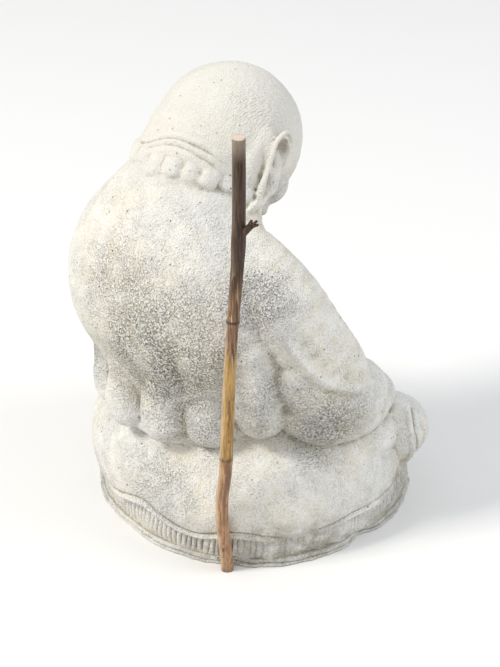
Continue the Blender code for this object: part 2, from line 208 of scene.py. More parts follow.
def head(clay):
    ball(clay, HEAD, (59, 62, 61), sides=48)
    limb(clay, [(0, 74, 304, 48), (0, 64, 322, 49), (0, 48, 334, 53)])
    # jaw and chin
    ball(clay, on_head(0, -16, -26), (43, 38, 43))
    ball(clay, on_head(0, -36, -55), (19, 17, 15))
    # nose
    limb(clay, [(*on_head(0, -54, 8), 5), (*on_head(0, -60, -8), 5.6), (*on_head(0, -65, -20), 7.2)])
    for side in (-1, 1):
        ball(clay, on_head(side * 7.5, -60, -22), (5.5, 6.5, 4.6))
        # cheeks, brows and closed lids
        ball(clay, on_head(side * 23, -37, -24), (18, 17, 19))
        limb(clay, [(*on_head(side * 9, -54, 11), 4), (*on_head(side * 23, -52, 14), 4.5),
                    (*on_head(side * 38, -41, 8), 3.5)])
        ball(clay, on_head(side * 20, -47.5, -1), (11.5, 8, 7.5))
    # lips
    for half, thin, full, centre, height in ((12, 2.4, 3.4, (0, -56, -35), -37),
                                             (9, 2.6, 4, (0, -54, -43), -42)):
        corners = [(*on_head(side * half, -49, height), thin) for side in (-1, 1)]
        limb(clay, [corners[0], (*on_head(*centre), full), corners[1]], step=0.5)


def ears(clay):
    """A long-lobed ear: a rolled rim round an oval hollow."""
    for side in (-1, 1):
        ball(clay, on_head(side * 56, 2, -6), (7, 12, 29))
        # the shell's back runs smoothly into the skull
        shell = [(51, 13, 15, 8), (50, 16, 3, 10), (49, 17, -10, 11), (49, 15, -24, 10), (50, 9, -38, 7)]
        limb(clay, [(*on_head(side * x, y, z), r) for x, y, z, r in shell])
        rim = [(60, -10, 0, 2.2), (60, -10, 12, 2.4), (61, -5, 20, 2.8), (63, 3, 22, 3), (64.5, 9, 16, 2.9),
               (65, 10.5, 6, 2.6), (64.5, 9, -6, 2.6), (63.5, 8, -18, 2.8), (62, 6, -30, 3.4),
               (59.5, 1, -38, 3.6), (58, -5, -30, 3), (58.5, -6, -16, 2.4)]
        limb(clay, [(*on_head(side * x, y, z), r) for x, y, z, r in rim], step=0.5)


def skin_of(mesh):
    return BVHTree.FromPolygons([v.co for v in mesh.vertices], [tuple(p.vertices) for p in mesh.polygons])


def made_whole(clay, name, modifiers):
    """The clay as one body, with its modifiers worked in."""
    mesh = bpy.data.meshes.new(name)
    clay.to_mesh(mesh)
    clay.free()
    made = bpy.data.objects.new(name, mesh)
    bpy.context.scene.collection.objects.link(made)
    for kind, values in modifiers:
        modifier = made.modifiers.new(kind.lower(), kind)
        for key, value in values.items():
            setattr(modifier, key, value)
    graph = bpy.context.evaluated_depsgraph_get()
    done = bpy.data.meshes.new_from_object(made.evaluated_get(graph))
    made.modifiers.clear()
    made.data = done
    done.name = name
    return made


def read(mesh, what):
    values = np.zeros(len(mesh.vertices) * 3)
    mesh.vertices.foreach_get(what, values)
    return values.reshape(-1, 3)


class Surface:
    """The figure's skin as rows of points, pushed in and out along the normals."""

    def __init__(self, mesh):
        self.mesh, self.tree = mesh, skin_of(mesh)
        self.points, self.normals = read(mesh, "co"), read(mesh, "normal")
        self.push = np.zeros(len(self.points))

    def stroke(self, points, width, height, fade=0.2):
        """A ridge, or a groove where height is below nought, that eases out over fade of its line."""
        line = np.array([self.tree.find_nearest(real(p))[0] for p in smooth_line(points, 6)])
        lo, hi = line.min(0) - 2.6 * width, line.max(0) + 2.6 * width
        near = np.where(((self.points > lo) & (self.points < hi)).all(1))[0]
        best, along = np.full(len(near), 1e9), np.zeros(len(near))
        for i in range(len(line) - 1):
            leg = line[i + 1] - line[i]
            away = self.points[near] - line[i]
            t = np.clip(away @ leg / max(leg @ leg, 1e-12), 0, 1)
            gap = np.linalg.norm(away - t[:, None] * leg, axis=1)
            closer = gap < best
            best[closer], along[closer] = gap[closer], (i + t[closer]) / (len(line) - 1)
        ease = np.clip(np.minimum(along, 1 - along) / max(fade, 0.001), 0, 1)
        shape = np.exp(-1.6 * (best / width) ** 2)
        self.push[near] += height * shape * ease * ease * (3 - 2 * ease)

    def dent(self, centre, radii, depth):
        """A soft hollow, or a swelling where depth is below nought, in parts."""
        away = (self.points - np.array(real(centre))) / (np.array(radii) * PART)
        self.push -= depth * PART * np.exp(-(away**2).sum(1) * 1.2)

    def settle(self):
        """Works the pushes in and starts afresh from the new skin."""
        self.points += self.normals * self.push[:, None]
        self.mesh.vertices.foreach_set("co", self.points.ravel())
        self.mesh.update()
        self.normals = read(self.mesh, "normal")
        self.tree = skin_of(self.mesh)
        self.push = np.zeros(len(self.points))


def hem_height(bearing):
    """The hem dips and lifts as the robe lies on the mat."""
    rise = 26 + 14 * bump(bearing, 97, 11) - 5 * bump(bearing, 119, 9) + 6 * bump(bearing, 136, 10)
    rise += 4 * bump(bearing, 30, 15) - 3 * bump(bearing, 0, 12) + 3 * bump(bearing, 230, 14)
    rise += 2 * bump(bearing, 186, 8)
    rise -= 11 * bump(bearing, 157, 11) + 12 * bump(bearing, 66, 11)
    return rise + 1.8 * noise.noise(Vector((bearing / 8, 3, 0)))


def string_beads(clay, skin):
    """Worn square beads round the nape and down to the chest."""
    half = np.array([skin.find_nearest(real(p))[0] for p in smooth_line(NECKLACE, 12)])
    string = np.vstack([half[::-1] * (-1, 1, 1), half[1:]])
    lengths = np.concatenate([[0], np.cumsum(np.linalg.norm(np.diff(string, axis=0), axis=1))])
    beads = round(lengths[-1] / BEAD_WIDTH)

    def spot_at(length):
        return Vector([np.interp(length, lengths, string[:, i]) for i in range(3)])

    for k in range(beads):
        at = (k + 0.5) * lengths[-1] / beads
        spot, normal = skin.find_nearest(spot_at(at))[:2]
        along = (spot_at(at + 0.003) - spot_at(at - 0.003)).normalized()
        across = normal.cross(along).normalized()
        turned = Matrix((along, across, normal)).transposed().to_4x4()
        wear = noise.noise(Vector((k * 3.7, 0.3, 0.8)))
        drop = noise.noise(Vector((k * 2.9, 7.3, 0.8)))
        spot = spot + across * drop * 0.003
        size = Matrix.Diagonal((BEAD_WIDTH * (0.43 + 0.12 * wear), BEAD_WIDTH * (0.44 + 0.16 * drop),
                                BEAD_RELIEF * (0.9 + 0.7 * wear) + 0.002, 1))
        bead = bmesh.new()
        bmesh.ops.create_uvsphere(bead, u_segments=20, v_segments=12, radius=1)
        for v in bead.verts:
            out = sum(abs(c) ** BEAD_SQUARENESS for c in v.co) ** (1 / BEAD_SQUARENESS)
            v.co = Matrix.Translation(spot - normal * 0.002) @ turned @ size @ (v.co / out)
        join(clay, bead)


# the folds of one side: width, height, how much of the line eases out, and the line
FOLDS = (
    # the hollow between the back and the sleeve
    (14, -2.5, 0.2, ((102, 56, 128), (104, 68, 152), (106, 78, 180), (106, 90, 215))),
    # the upper arm's end over the forearm's sleeve
    (10, -2, 0.2, ((126, 64, 230), (131, 54, 212), (138, 42, 194), (142, 26, 180), (140, 4, 170))),
    (6.5, 4, 0.2, ((119, 76, 234), (128, 65, 208), (135, 52, 186), (140, 36, 172), (142, 16, 163),
                   (136, -14, 152))),
    # front folds
    (7, 2.6, 0.2, ((30, -18, 190), (60, -16, 160), (92, -14, 140))),
    (7, 2.6, 0.2, ((20, -28, 150), (50, -30, 128), (80, -34, 118))),
    (5, -2, 0.2, ((24, -24, 168), (56, -24, 142), (86, -26, 128))),
    (6, 2.2, 0.2, ((60, -130, 34), (62, -122, 60), (66, -100, 88))),
    (5, 1.8, 0.2, ((22, -126, 34), (24, -124, 56), (30, -108, 78))),
    (6, -1.8, 0.2, ((96, -112, 34), (92, -116, 62), (84, -104, 88))),
    (4, -2.5, 0.2, ((112, -40, 100), (104, -66, 96), (84, -84, 92))),
    # the robe's raised front edge beside the knee, the line before it and the hollow at the knee
    (2.4, 2.6, 0.1, ((131, -28, 16), (124, -60, 20), (126, -73, 49), (124, -72, 78), (106, -84, 94))),
    (2, -2, 0.1, ((131, -36, 16), (124, -67, 20), (125, -80, 49), (122, -79, 78), (104, -91, 93))),
    (8, -4.5, 0.2, ((126, -72, 22), (121, -90, 49), (115, -92, 80))),
)
# the flutes that run up the cape from between the scallops: bearing, low end, high end, depth
FLUTES = ((74, 135, 190, 2.5), (101, 138, 205, 2.5), (129, 124, 230, 5), (157, 122, 215, 4))


def carve(form):
    """Folds, creases, hem and face lines, drawn into the skin."""
    # the rolled hem with the line above it and the shadow below
    for lift, width, height in ((0, HEM_WIDTH, HEM_RELIEF), (5.5, 1.6 * PART, -1.5 * PART),
                                (-3, 2.4 * PART, -1.6 * PART)):
        ring = []
        for k in range(-1, 91):
            turn = math.radians(4 * k)
            ring.append((141 * math.cos(turn), 4 + 139 * math.sin(turn), hem_height(4 * k % 360) + lift))
        form.stroke(ring, width, height, fade=0.008)
    # two soft rolls of skin across the nape
    nape = [(-50, 61, 329), (-46, 71, 342), (-40, 77, 350), (-26, 88, 358), (-13, 93, 359), (0, 99, 355),
            (10, 101, 350), (26, 94, 341), (40, 82, 334)]
    for lift, fan, width, height in ((0, 0, 1.9, -1.0), (-3.6, 0.5, 2.4, 1.0), (-6.8, 1, 1.9, -0.75),
                                     (4, 0, 3, 0.7), (8, -1, 2, -0.4), (-11, 1.5, 3.5, 0.7)):
        line = [(x, y, z + lift - fan * max(0, -24 - x) * 0.14) for x, y, z in nape]
        form.stroke(line, width * PART, height * PART, 0.3)
    for side in (-1, 1):
        for width, height, fade, points in FOLDS:
            form.stroke([(side * x, y, z) for x, y, z in points], width * PART, height * PART, fade)
        # lids and brows, then the dents of the ear, the mouth's corner and the nostril
        lid = [on_head(side * 9, -53, -4), on_head(side * 20, -56, -8), on_head(side * 31, -50, -4)]
        form.stroke(lid, 1.5 * PART, -1.6 * PART, 0.15)
        brow = [on_head(side * 10, -52, 6), on_head(side * 21, -54, 7), on_head(side * 33, -46, 4)]
        form.stroke(brow, 2.4 * PART, -1.6 * PART)
        for place, radii, depth in (((61, 1, 10), (10, 6, 8), 8), ((61, 1, -2), (10, 5, 8), 6),
                                    ((60, 2, -18), (7, 4, 11), 4), ((15, -49, -38), (3, 3, 3), 1.2),
                                    ((4.2, -62, -26), (2.4, 3, 2.4), 1.8)):
            form.dent(on_head(side * place[0], *place[1:]), radii, depth)
        # two shallow hollows low on the cape
        form.dent((side * 42, 136, 156), (20, 20, 26), 3)
        form.dent((side * 16, 140, 160), (16, 20, 24), 1.5)
    mouth = [on_head(-13, -52, -39), on_head(0, -58, -39.5), on_head(13, -52, -39)]
    form.stroke(mouth, 1.3 * PART, -1.7 * PART, 0.15)
    form.stroke([on_head(0, -60, -27), on_head(0, -60, -33)], 1.8 * PART, -0.9 * PART)
    # the robe crossed on the chest
    over = [(-44, 22, 286), (-26, -4, 250), (6, -14, 205), (34, -14, 170), (62, -10, 140)]
    form.stroke(over, 5 * PART, 4.2 * PART)
    form.stroke([(44, 22, 286), (26, -4, 250), (4, -14, 212)], 5 * PART, 3.6 * PART)
    form.settle()
    for bearing, low, high, deep in FLUTES:
        for mirror in (1, -1):
            turn = math.radians(bearing)
            c, s = math.cos(turn) * mirror, math.sin(turn)
            groove = [(c * 112, 52 + s * 110, low), (c * 112, 56 + s * 110, (low + high) / 2),
                      (c * 108, 60 + s * 106, high)]
            form.stroke(groove, 11 * PART, -deep * PART * (1 if mirror > 0 else 0.4), 0.4)
    # hand-worked unevenness
    for i, point in enumerate(form.points):
        spot = Vector(point) / PART
        broad = noise.noise(spot / 34) * 0.9 + noise.noise(spot / 13 + Vector((5, 0, 0))) * 0.35
        close = noise.noise(spot / 5.2 + Vector((0, 9, 0))) * 0.16
        form.push[i] += (broad + close) * PART
    form.settle()
    # below its hem the robe draws in behind the mat
    for i, (x, y, z) in enumerate(form.points / PART):
        below = hem_height(math.degrees(math.atan2(y, x)) % 360) - 3 - (z + MAT_TOP - SEAT / PART)
        if below > 0 and z < 60:
            form.points[i, :2] *= 1 - 0.075 * min(1, below / 2.2)
    form.settle()


# weathered places: x, y, z, reach and strength, in parts
OPENED_BY_RAIN = ((-52, 140, 196, 62, 1), (-20, 140, 240, 50, 0.55), (-108, 70, 150, 40, 0.45),
                  (-60, 122, 132, 30, 0.5), (-128, 30, 128, 36, 0.9), (-104, 90, 250, 30, 0.6),
                  (110, 62, 140, 44, 0.9), (60, 130, 160, 34, 0.7), (-30, 128, 62, 40, 0.35),
                  (120, -60, 60, 40, 0.6))
GREY_WITH_GRIME = ((-122, -68, 26, 30, 1), (-118, -40, 14, 26, 0.8), (70, 118, 16, 30, 0.45),
                   (-70, 118, 6, 34, 0.6), (-112, 78, 18, 30, 1), (-128, 42, 16, 26, 1),
                   (100, 70, 60, 30, 0.3), (60, -130, 30, 40, 0.6))
BRUSHED = ((-42, 38, 378, 26, 1), (-52, 20, 372, 20, 0.7))


def spots(points, places):
    """Soft round marks: x, y, z, reach and strength."""
    marks = np.zeros(len(points))
    for x, y, z, reach, full in places:
        away = ((points - (x, y, z)) ** 2).sum(1) / reach**2
        marks = np.maximum(marks, full * np.exp(-(away**1.5)))
    return marks


def weather(mesh):
    """Stores where rain has opened the grain, where the stone is grey and grimy, with painted shade on the
    undersides and darker towards the ground, and where the crown is brushed.
    """
    points, normals = read(mesh, "co") / PART, read(mesh, "normal")
    # painted shade on the faces that look down
    under = np.clip(-normals[:, 2], 0, 1) * 0.6
    low = 0.2 * np.clip((34 - points[:, 2]) / 24, 0, 1)
    grime_and_underside_shade = 1 - (1 - spots(points, GREY_WITH_GRIME)) * (1 - under) * (1 - low)
    for name, values in (("opened", spots(points, OPENED_BY_RAIN)), ("grime_and_underside_shade", grime_and_underside_shade),
                         ("brushed", spots(points, BRUSHED))):
        mesh.attributes.new(name, "FLOAT", "POINT").data.foreach_set("value", values.astype(np.float32))


def shade_hollows(mesh):
    """Stores how deep each point lies below its surroundings, for the soiling and painted shade to settle in
    and for the painted highlights on the crests.
    """
    # how often the skin is eased for each of three scales, and the depth that counts as full there
    scales = ((2, 0.00035), (8, 0.0009), (30, 0.0026))
    count = len(mesh.vertices)
    edges = np.zeros(len(mesh.edges) * 2, int)
    mesh.edges.foreach_get("vertices", edges)
    edges = edges.reshape(-1, 2)
    valence = np.bincount(edges.ravel(), minlength=count).astype(float)[:, None]
    points, normals = read(mesh, "co"), read(mesh, "normal")
    eased, done = points.copy(), 0
    hollow = np.zeros(count)
    for goal, full in scales:
        while done < goal:
            total = np.zeros_like(eased)
            for axis in range(3):
                total[:, axis] = np.bincount(edges[:, 0], eased[edges[:, 1], axis], count)
                total[:, axis] += np.bincount(edges[:, 1], eased[edges[:, 0], axis], count)
            eased = 0.5 * eased + 0.5 * total / valence
            done += 1
        depth = ((eased - points) * normals).sum(1) / full
        hollow += np.clip(depth, -1, 1) / len(scales)
    attribute = mesh.attributes.new("hollow", "FLOAT", "POINT")
    attribute.data.foreach_set("value", (0.5 + 0.5 * hollow).astype(np.float32))


def build_figure():
    clay = bmesh.new()
    for form in (lower_robe, torso, arms, hands, head, ears):
        form(clay)
    for vert in clay.verts:
        vert.co = real(vert.co)
    coarse = ("REMESH", {"mode": "VOXEL", "voxel_size": 4 * GRAIN})
    first = made_whole(clay.copy(), "first_skin", (coarse,))
    string_beads(clay, skin_of(first.data))
    bpy.data.objects.remove(first, do_unlink=True)
    figure = made_whole(clay, "stone_monk", (("REMESH", {"mode": "VOXEL", "voxel_size": GRAIN}),
                                            ("SMOOTH", {"factor": 0.5, "iterations": 5})))
    carve(Surface(figure.data))
    fine = bmesh.new()
    fine.from_mesh(figure.data)
    share = STONE_TRIANGLES / (2 * len(fine.faces))
    bpy.data.objects.remove(figure, do_unlink=True)
    fewer = ("DECIMATE", {"ratio": share, "use_collapse_triangulate": True})
    figure = made_whole(fine, "stone_monk", (fewer,))
    shade_hollows(figure.data)
    weather(figure.data)
    figure.data.polygons.foreach_set("use_smooth", [True] * len(figure.data.polygons))
    return figure


class Finish:
    """Short hands for laying a finish with nodes. Lengths in it are millimetres."""

    def __init__(self, name):
        self.material = bpy.data.materials.new(name)
        self.material.use_nodes = True
        self.tree = self.material.node_tree
        self.shader = self.tree.nodes["Principled BSDF"]
        coords = self.tree.nodes.new("ShaderNodeTexCoord")
        self.place = self.scaled(coords.outputs["Object"], 1000)

    def link(self, value, socket):
        if isinstance(value, bpy.types.NodeSocket):
            self.tree.links.new(value, socket)
        else:
            socket.default_value = value

    def scaled(self, vector, scale):
        node = self.tree.nodes.new("ShaderNodeVectorMath")
        node.operation = "SCALE"
        self.link(vector, node.inputs[0])
        node.inputs["Scale"].default_value = scale
        return node.outputs[0]

    def squeezed(self, scale):
        """The place, stretched by (x, y, z)."""
        node = self.tree.nodes.new("ShaderNodeVectorMath")
        node.operation = "MULTIPLY"
        self.link(self.place, node.inputs[0])
        node.inputs[1].default_value = scale
        return node.outputs[0]

    def noise(self, size, detail=3.0, rough=0.5, at=None):
        node = self.tree.nodes.new("ShaderNodeTexNoise")
        self.link(at or self.place, node.inputs["Vector"])
        node.inputs["Scale"].default_value = 1 / size
        node.inputs["Detail"].default_value = detail
        node.inputs["Roughness"].default_value = rough
        return node.outputs["Fac"]

    def cells(self, size, at=None):
        """How far each point lies from the middle of its cell."""
        node = self.tree.nodes.new("ShaderNodeTexVoronoi")
        self.link(at or self.place, node.inputs["Vector"])
        node.inputs["Scale"].default_value = 1 / size
        return node.outputs["Distance"]

    def height(self):
        apart = self.tree.nodes.new("ShaderNodeSeparateXYZ")
        self.link(self.place, apart.inputs[0])
        return apart.outputs["Z"]

    def calc(self, operation, a, b=0.0):
        node = self.tree.nodes.new("ShaderNodeMath")
        node.operation = operation
        self.link(a, node.inputs[0])
        self.link(b, node.inputs[1])
        return node.outputs[0]

    def times(self, *values):
        """The product of two or more values."""
        product = values[0]
        for value in values[1:]:
            product = self.calc("MULTIPLY", product, value)
        return product

    def less(self, value, share):
        """What is left of one after that share of value."""
        return self.calc("SUBTRACT", 1.0, self.times(value, share))

    def band(self, value, low, high, out_low=0.0, out_high=1.0):
        """A smooth step of value between low and high."""
        node = self.tree.nodes.new("ShaderNodeMapRange")
        node.interpolation_type = "SMOOTHSTEP"
        self.link(value, node.inputs["Value"])
        ends = (("From Min", low), ("From Max", high), ("To Min", out_low), ("To Max", out_high))
        for name, number in ends:
            node.inputs[name].default_value = number
        return node.outputs["Result"]

    def mix(self, share, a, b):
        """Colour a, going over to b by share."""
        node = self.tree.nodes.new("ShaderNodeMix")
        node.data_type = "RGBA"
        self.link(share, node.inputs[0])
        for value, socket in ((a, node.inputs[6]), (b, node.inputs[7])):
            self.link((*value, 1) if isinstance(value, tuple) else value, socket)
        return node.outputs[2]

    def relief(self, height, distance, strength=1.0, under=None):
        """A bump of so many millimetres."""
        node = self.tree.nodes.new("ShaderNodeBump")
        node.inputs["Strength"].default_value = strength
        node.inputs["Distance"].default_value = distance / 1000
        self.link(height, node.inputs["Height"])
        if under is not None:
            self.link(under, node.inputs["Normal"])
        return node.outputs["Normal"]

    def attribute(self, name):
        node = self.tree.nodes.new("ShaderNodeAttribute")
        node.attribute_name = name
        return node.outputs["Fac"]


# the weathered stone: sandy cream to cool grey, pale where it is worn, with dirt and painted shade in the
# hollows, painted shade on the undersides and between the grains, painted highlights on the crests and grain
# tops, and painted shade on the head
CREAM = (0.79, 0.755, 0.65)
GREY = (0.71, 0.70, 0.66)
PALE_WEAR_AND_HIGHLIGHT = (0.86, 0.85, 0.82)
CROWN_SHADE = (0.65, 0.63, 0.57)
SHADOWED = (0.34, 0.315, 0.255)
DIRT_AND_SHADE = (0.30, 0.27, 0.19)
GRIME_AND_SHADE = (0.33, 0.32, 0.28)
PAINTED_GAP_SHADE = (0.14, 0.115, 0.08)
HOLE = (0.10, 0.08, 0.06)


def grains(n, size, shaken):
    """Rounded grains, high in the middle and low between them."""
    bent = n.tree.nodes.new("ShaderNodeVectorMath")
    bent.operation = "ADD"
    wobble = n.tree.nodes.new("ShaderNodeTexNoise")
    n.link(n.place, wobble.inputs["Vector"])
    wobble.inputs["Scale"].default_value = 0.6 / size
    n.link(n.place, bent.inputs[0])
    n.link(n.scaled(wobble.outputs["Color"], size * shaken), bent.inputs[1])
    return n.band(n.cells(size, bent.outputs[0]), 0.85, 0.1)


def stone_material():
    n = Finish("weathered_stone")
    hollow = n.attribute("hollow")
    opened = n.times(n.attribute("opened"), n.band(n.noise(24, 3, 0.6), 0.3, 0.6, 0.45, 1.0))
    head = n.band(n.height(), 300, 345)
    # broad tints, then the paler skin where the casting is rubbed, the crests paler with wear and a painted
    # highlight, and the smoother head painted darker as shade against the light on its top
    colour = n.mix(n.band(n.noise(60, 3), 0.4, 0.62), CREAM, GREY)
    rubbed = n.times(n.band(n.noise(17, 4, 0.62), 0.46, 0.64), n.band(opened, 0.7, 0.1, 0.1, 0.6))
    colour = n.mix(rubbed, colour, PALE_WEAR_AND_HIGHLIGHT)
    # the crests painted paler: wear, and a painted highlight
    colour = n.mix(n.band(hollow, 0.48, 0.3, 0.0, 0.7), colour, PALE_WEAR_AND_HIGHLIGHT)
    # painted shade: the head darkened against the light falling on its top
    colour = n.mix(n.times(head, 0.75), colour, CROWN_SHADE)
    # grey grime with painted shade on the undersides, then dirt with painted shade in the hollows
    stain_and_underside_shade = n.times(n.attribute("grime_and_underside_shade"), n.band(n.noise(9, 4, 0.65), 0.3, 0.62, 0.35, 1.0))
    colour = n.mix(n.times(stain_and_underside_shade, 0.8), colour, n.mix(n.band(n.noise(13), 0.42, 0.58), GRIME_AND_SHADE, DIRT_AND_SHADE))
    # dirt and painted shade in the hollows
    dirt_and_hollow_shade = n.times(n.band(hollow, 0.55, 0.82), n.band(n.noise(7, 3), 0.25, 0.6, 0.6, 1.0))
    colour = n.mix(n.times(dirt_and_hollow_shade, 0.8), colour, DIRT_AND_SHADE)
    # sand: close grains all over, with painted shade between them and painted highlights on their tops,
    # crumbly ones where the rain has opened the face, with painted shade in their gaps
    sand = n.calc("ADD", n.times(grains(n, 1.7, 0.9), 0.5), n.times(n.noise(1.3, 2, 0.75), 0.9))
    uneven = n.times(n.calc("SUBTRACT", n.noise(1.2, 2, 0.7), 0.5), 0.9)
    crumb = n.calc("ADD", grains(n, 2.1, 0.7), uneven)
    loose = n.calc("ADD", n.times(n.band(n.noise(15, 3, 0.6), 0.35, 0.65), 0.2), 0.17)
    loose = n.times(loose, n.less(head, 0.75))
    # painted shade between the grains
    colour = n.mix(n.times(n.band(sand, 0.64, 0.46), loose), colour, SHADOWED)
    # painted highlight on the grain tops
    colour = n.mix(n.band(sand, 0.78, 0.95, 0.0, 0.35), colour, PALE_WEAR_AND_HIGHLIGHT)
    # painted shade in the gaps between the crumbs
    colour = n.mix(n.times(n.band(crumb, 0.22, 0.04), opened, 0.9), colour, PAINTED_GAP_SHADE)
    # air holes, large and small, fewer on the head
    large = n.times(n.band(n.cells(8.0), 0.11, 0.07), n.band(n.noise(14, 0), 0.55, 0.59))
    small = n.times(n.band(n.cells(4.1), 0.13, 0.09), n.band(n.noise(12, 1), 0.6, 0.64))
    hole = n.times(n.calc("MAXIMUM", large, small), n.less(head, 0.6))
    colour = n.mix(n.times(hole, 0.8), colour, HOLE)
    n.link(colour, n.shader.inputs["Base Color"])
    n.shader.inputs["Roughness"].default_value = 0.93
    n.shader.inputs["Specular IOR Level"].default_value = 0.25
    # the same grains as relief, with brush marks on the crown and broad lumps
    face = n.relief(n.times(sand, n.calc("ADD", n.times(loose, 2.6), 0.3)), 1.0)
    combed = n.times(n.noise(0.9, 1, 0.5, n.squeezed((1, 0.22, 0.22))), n.attribute("brushed"))
    face = n.relief(combed, 1.6, 1.0, face)
    face = n.relief(n.times(n.band(crumb, 0.0, 0.75), opened), 3.2, 1.0, face)
    face = n.relief(n.noise(6, 2), 0.9, 0.9, face)
    face = n.relief(n.less(hole, 1.0), 1.4, 1.0, face)
    n.link(face, n.shader.inputs["Normal"])
    return n.material


stone = stone_material()
monk = build_figure()
monk.data.materials.append(stone)
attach(monk, "root")
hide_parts("cast_monk")


# The mat and the slab
# The same casting goes on below the hem: a mat with upright reeds, a little crushed, on a thin slab with
# a broken edge that was poured in two layers.

SLAB_WIDTH = 0.272
SLAB_DEPTH = 0.269
MAT_SETBACK = 0.003
MAT_TUCK = 0.010  # how far the mat goes on up inside the robe
REED_PITCH = 0.0050
REED_DEPTH = 0.0036
SLAB_SQUARENESS = 2.2
SEAM_HEIGHT = 0.0031
SEAM_DEPTH = 0.0014


def edge_point(angle, inset, height):
    """A point of the slab's rounded square, drawn in by inset."""
    c, s = math.cos(angle), math.sin(angle)
    out = (abs(c) ** SLAB_SQUARENESS + abs(s) ** SLAB_SQUARENESS) ** (-1 / SLAB_SQUARENESS)
    return Vector((out * c * (SLAB_WIDTH / 2 - inset), out * s * (SLAB_DEPTH / 2 - inset), height))


def slab_edge(height, spot, chip):
    """How far the slab's edge is drawn in, and its height there."""
    layer = 0 if height < 0.003 else 1
    uneven = 0.0016 * noise.noise(spot * 0.22 + Vector((layer * 7, 0, 0)))
    uneven += 0.0008 * noise.noise(spot * 0.9 + Vector((layer * 3, 2, 0)))
    inset = layer * 0.001 + chip - uneven
    if abs(height - SEAM_HEIGHT) < 0.0003:
        inset += SEAM_DEPTH
    if height < 0.0005:
        return inset + 0.0008, height
    return inset, height + 0.0008 * noise.noise(spot * 0.3)


def mat_edge(share, angle, spot, chip, reeds):
    """How far the mat's edge is drawn in, at that share of its height; worn and ragged at one place."""
    crush = noise.noise(Vector((spot.x * 0.35, spot.y * 0.35, share * 1.5)))
    wander = angle + 0.014 * noise.noise(Vector((spot.x * 0.5, spot.y * 0.5, share * 2))) - 0.02 * share
    reed = min(1, 1.5 * abs(math.sin(wander * reeds / 2)) ** 0.9)
    kept = 1 - 0.9 * bump(math.degrees(angle), 164, 30)
    depth = REED_DEPTH * (0.85 + 0.9 * crush) * min(1, 6 * share) * kept
    bulge = 0.0015 * math.sin(math.pi * min(1, share * 1.2))
    ragged = 0.0022 * noise.noise(spot * 0.35 + Vector((0, 0, share * 3))) * (1 - kept)
    return MAT_SETBACK + 0.4 * chip + depth * (1 - reed) - bulge + 0.0012 * crush + ragged


def next_ring(piece, edges):
    """Draws the last ring on into a new one; its points and edges."""
    made = bmesh.ops.extrude_edge_only(piece, edges=edges)["geom"]
    verts = [g for g in made if isinstance(g, bmesh.types.BMVert)]
    return verts, [g for g in made if isinstance(g, bmesh.types.BMEdge)]


def build_plinth():
    reeds = round(math.pi * (SLAB_WIDTH + SLAB_DEPTH) / 2 / REED_PITCH)
    sides = reeds * 8
    foot, top = SLAB_THICKNESS + 0.0015, SEAT + MAT_TUCK
    heights = [0.0, 0.0008, 0.0018, 0.0027, SEAM_HEIGHT, 0.0036, 0.0048, 0.006, SLAB_THICKNESS,
               SLAB_THICKNESS + 0.0003]
    heights += [foot + (top - foot) * k / 12 for k in range(13)]
    piece = bmesh.new()
    ring = bmesh.ops.create_circle(piece, cap_ends=True, segments=sides, radius=1)["verts"]
    edges = list(piece.edges)
    for level, height in enumerate(heights):
        if level > 0:
            ring, edges = next_ring(piece, edges)
        for k, v in enumerate(ring):
            angle = 2 * math.pi * k / sides
            degrees = math.degrees(angle)
            spot = Vector((math.cos(angle) * 30, math.sin(angle) * 30, height * 200))
            chip = 0.006 * bump(degrees, 184, 6) + 0.0035 * bump(degrees, 132, 6)
            if height <= SLAB_THICKNESS:
                v.co = edge_point(angle, *slab_edge(height, spot, chip))
            else:
                share = (height - SLAB_THICKNESS) / (top - SLAB_THICKNESS)
                v.co = edge_point(angle, mat_edge(share, angle, spot, chip, reeds), height)
    bmesh.ops.contextual_create(piece, geom=edges)
    bmesh.ops.recalc_face_normals(piece, faces=piece.faces[:])
    bmesh.ops.triangulate(piece, faces=[f for f in piece.faces if len(f.verts) > 4])
    plinth = made_whole(piece, "stone_mat", ())
    shade_hollows(plinth.data)
    weather(plinth.data)
    plinth.data.polygons.foreach_set("use_smooth", [True] * len(plinth.data.polygons))
    return plinth


plinth = build_plinth()
plinth.data.materials.append(stone)
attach(plinth, "root")
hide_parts("cast_monk")


# The branch
# A natural twig as thick as a finger's tip, sawn at the top. It stands on the ground and leans on the back,
# with dark bark above and peeled ochre wood in the middle.

STICK_LENGTH = 0.395
STICK_FOOT_DIAMETER = 0.0108
STICK_TOP_DIAMETER = 0.0104
# the bearing it leans at, how far out its foot stands and how far it leans in from upright
STICK_BEARING = 132.0
STICK_FOOT = 0.1424
STICK_LEAN = math.radians(-1.142)
KNOT_HEIGHT = 0.247
SCAR_HEIGHT = 0.121
STUB_HEIGHT = 0.316
STUB_LENGTH = 0.021
# the line of its middle, in shares of its length: way up, sideways and out from the back
STICK_BENDS = ((0.012, -0.007, 0), (0.065, -0.009, 0.011), (0.13, -0.012, 0.021), (0.2, -0.012, 0.027),
               (0.27, -0.004, 0.031), (0.38, 0.002, 0.034), (0.57, 0.011, 0.034), (0.78, 0.025, 0.024),
               (1, 0.025, 0.008))
# the side shoot and its splinters: lean, end and start in shares of its length, and thickness
SPLINTERS = ((0, 0.74, 0, 0.0029), (0.4, 1.0, 0.55, 0.0012), (-0.34, 0.94, 0.5, 0.0014),
             (0.05, 1.06, 0.6, 0.0011))


def stick_frame():
    """The ways outwards from the back, sideways and up along the stick."""
    bearing = math.radians(STICK_BEARING)
    outward = Vector((math.cos(bearing), math.sin(bearing), 0))
    up = Vector((0, 0, 1)) * math.cos(STICK_LEAN) - outward * math.sin(STICK_LEAN)
    return outward, Vector((-outward.y, outward.x, 0)), up


